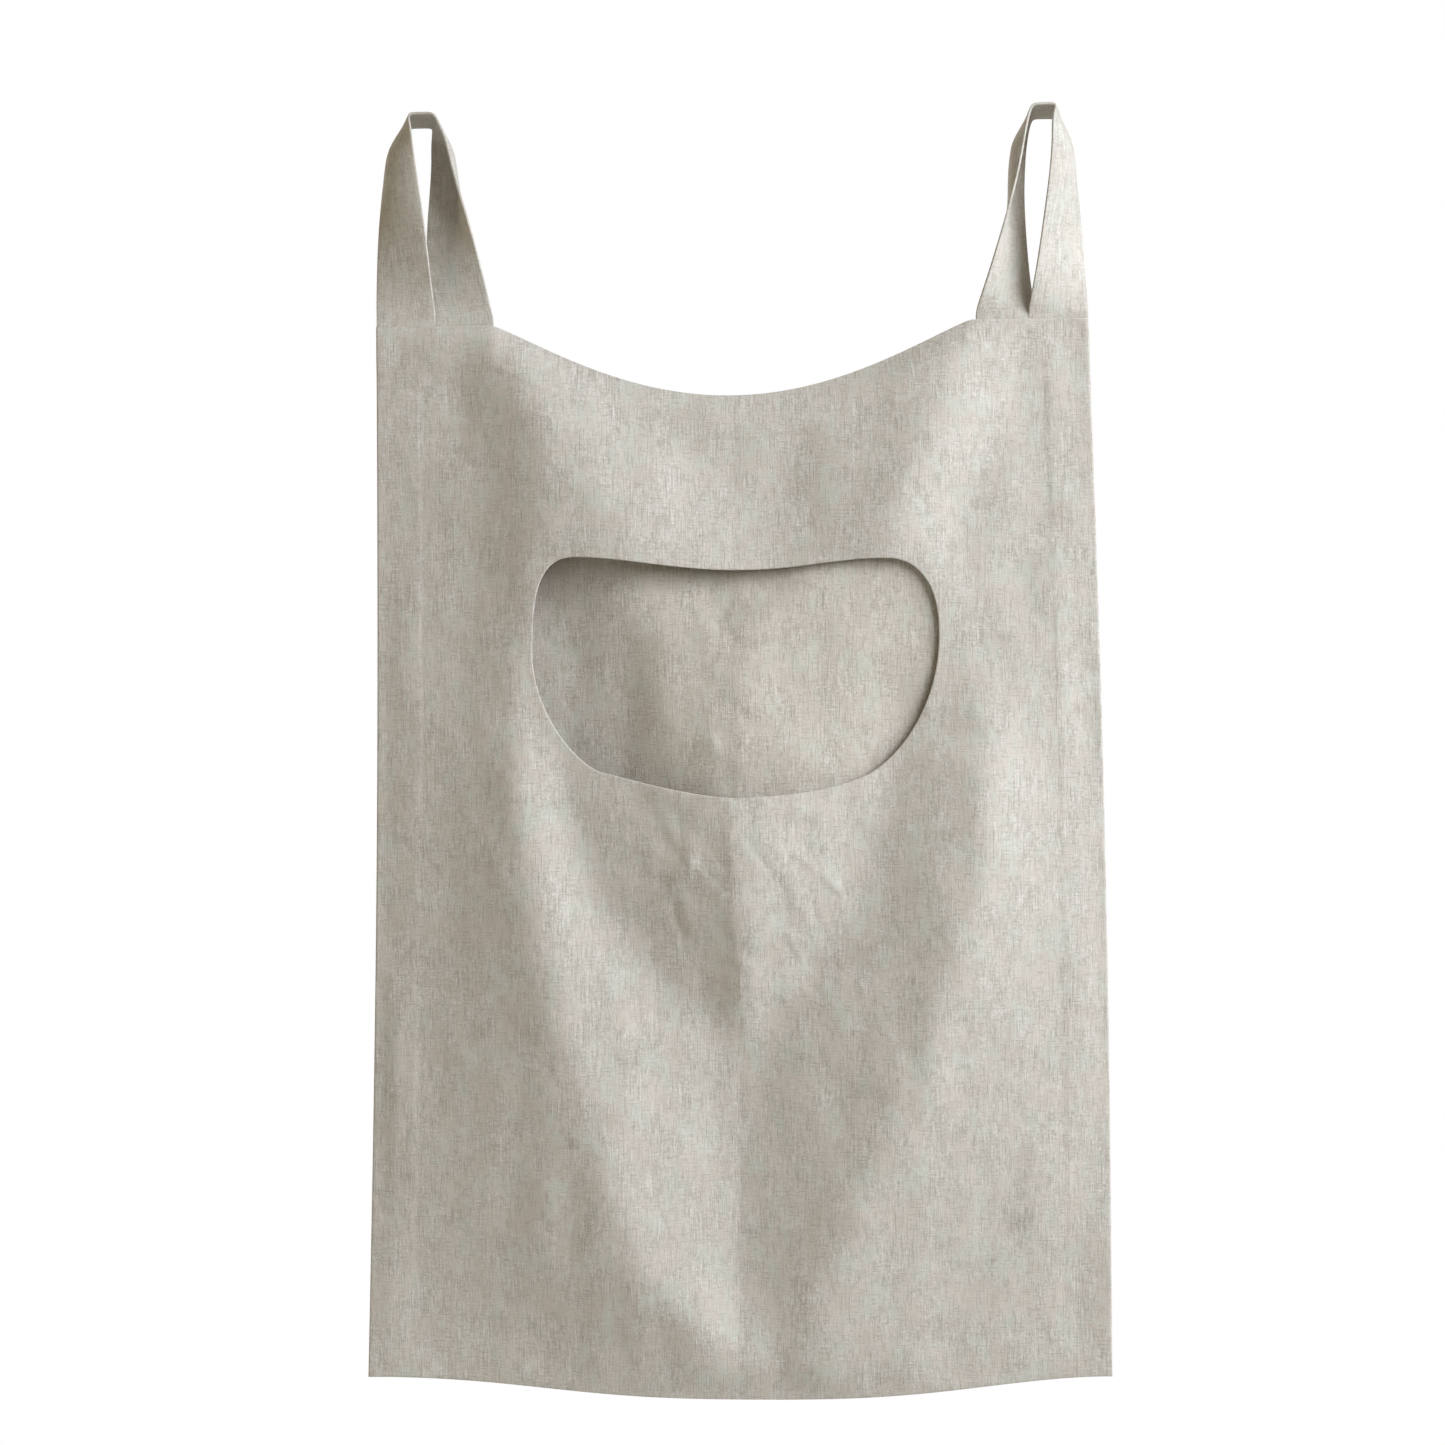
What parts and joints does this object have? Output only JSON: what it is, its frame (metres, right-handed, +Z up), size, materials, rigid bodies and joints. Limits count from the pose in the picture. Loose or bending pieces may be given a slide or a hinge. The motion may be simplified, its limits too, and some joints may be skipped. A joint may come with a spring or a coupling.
{
  "type": "hanging laundry bag",
  "caption": "Hanging linen laundry bag with a rounded letterbox mouth in its front panel and a twisted strap loop at each top corner.",
  "frame": {"origin": "midway between the two hook seats, which are the undersides of the strap loops' flat tops", "axes": "+Z up, +X to the right seen from the front, and the front panel with the mouth faces -Y"},
  "size_m": [0.503, 0.0459, 0.8691],
  "materials": {
    "front_linen": "washed plain-weave linen, natural greige, slubbed and softly creased",
    "back_linen": "the same washed linen, seen inside through the mouth",
    "inner_linen": "the same washed linen, turned in",
    "strap_linen": "the same linen folded into four and pressed",
    "thread": "matching spun sewing thread"
  },
  "bodies": {
    "bag": {"front_panel": "front_linen", "back_panel": "back_linen", "mouth_facing": "inner_linen", "front_top_allowance": "inner_linen", "front_bottom_allowance": "inner_linen", "front_left_allowance": "inner_linen", "front_right_allowance": "inner_linen", "back_top_allowance": "inner_linen", "back_bottom_allowance": "inner_linen", "back_left_allowance": "inner_linen", "back_right_allowance": "inner_linen", "left_outer_strap_tail": "strap_linen", "left_inner_strap_tail": "strap_linen", "right_outer_strap_tail": "strap_linen", "right_inner_strap_tail": "strap_linen", "left_seam_thread": "thread", "right_seam_thread": "thread", "top_seam_thread": "thread", "bottom_seam_thread": "thread", "mouth_thread": "thread"},
    "left_loop": {"left_strap": "strap_linen"},
    "right_loop": {"right_strap": "strap_linen"}
  },
  "joints": [
    {"name": "left_loop_fold", "type": "hinge", "parent": "bag", "child": "left_loop", "pos_m": [-0.2, 0, -0.136], "axis": [1, 0, 0], "range_deg": [-120, 120]},
    {"name": "right_loop_fold", "type": "hinge", "parent": "bag", "child": "right_loop", "pos_m": [0.2, 0, -0.136], "axis": [1, 0, 0], "range_deg": [-120, 120]}
  ]
}
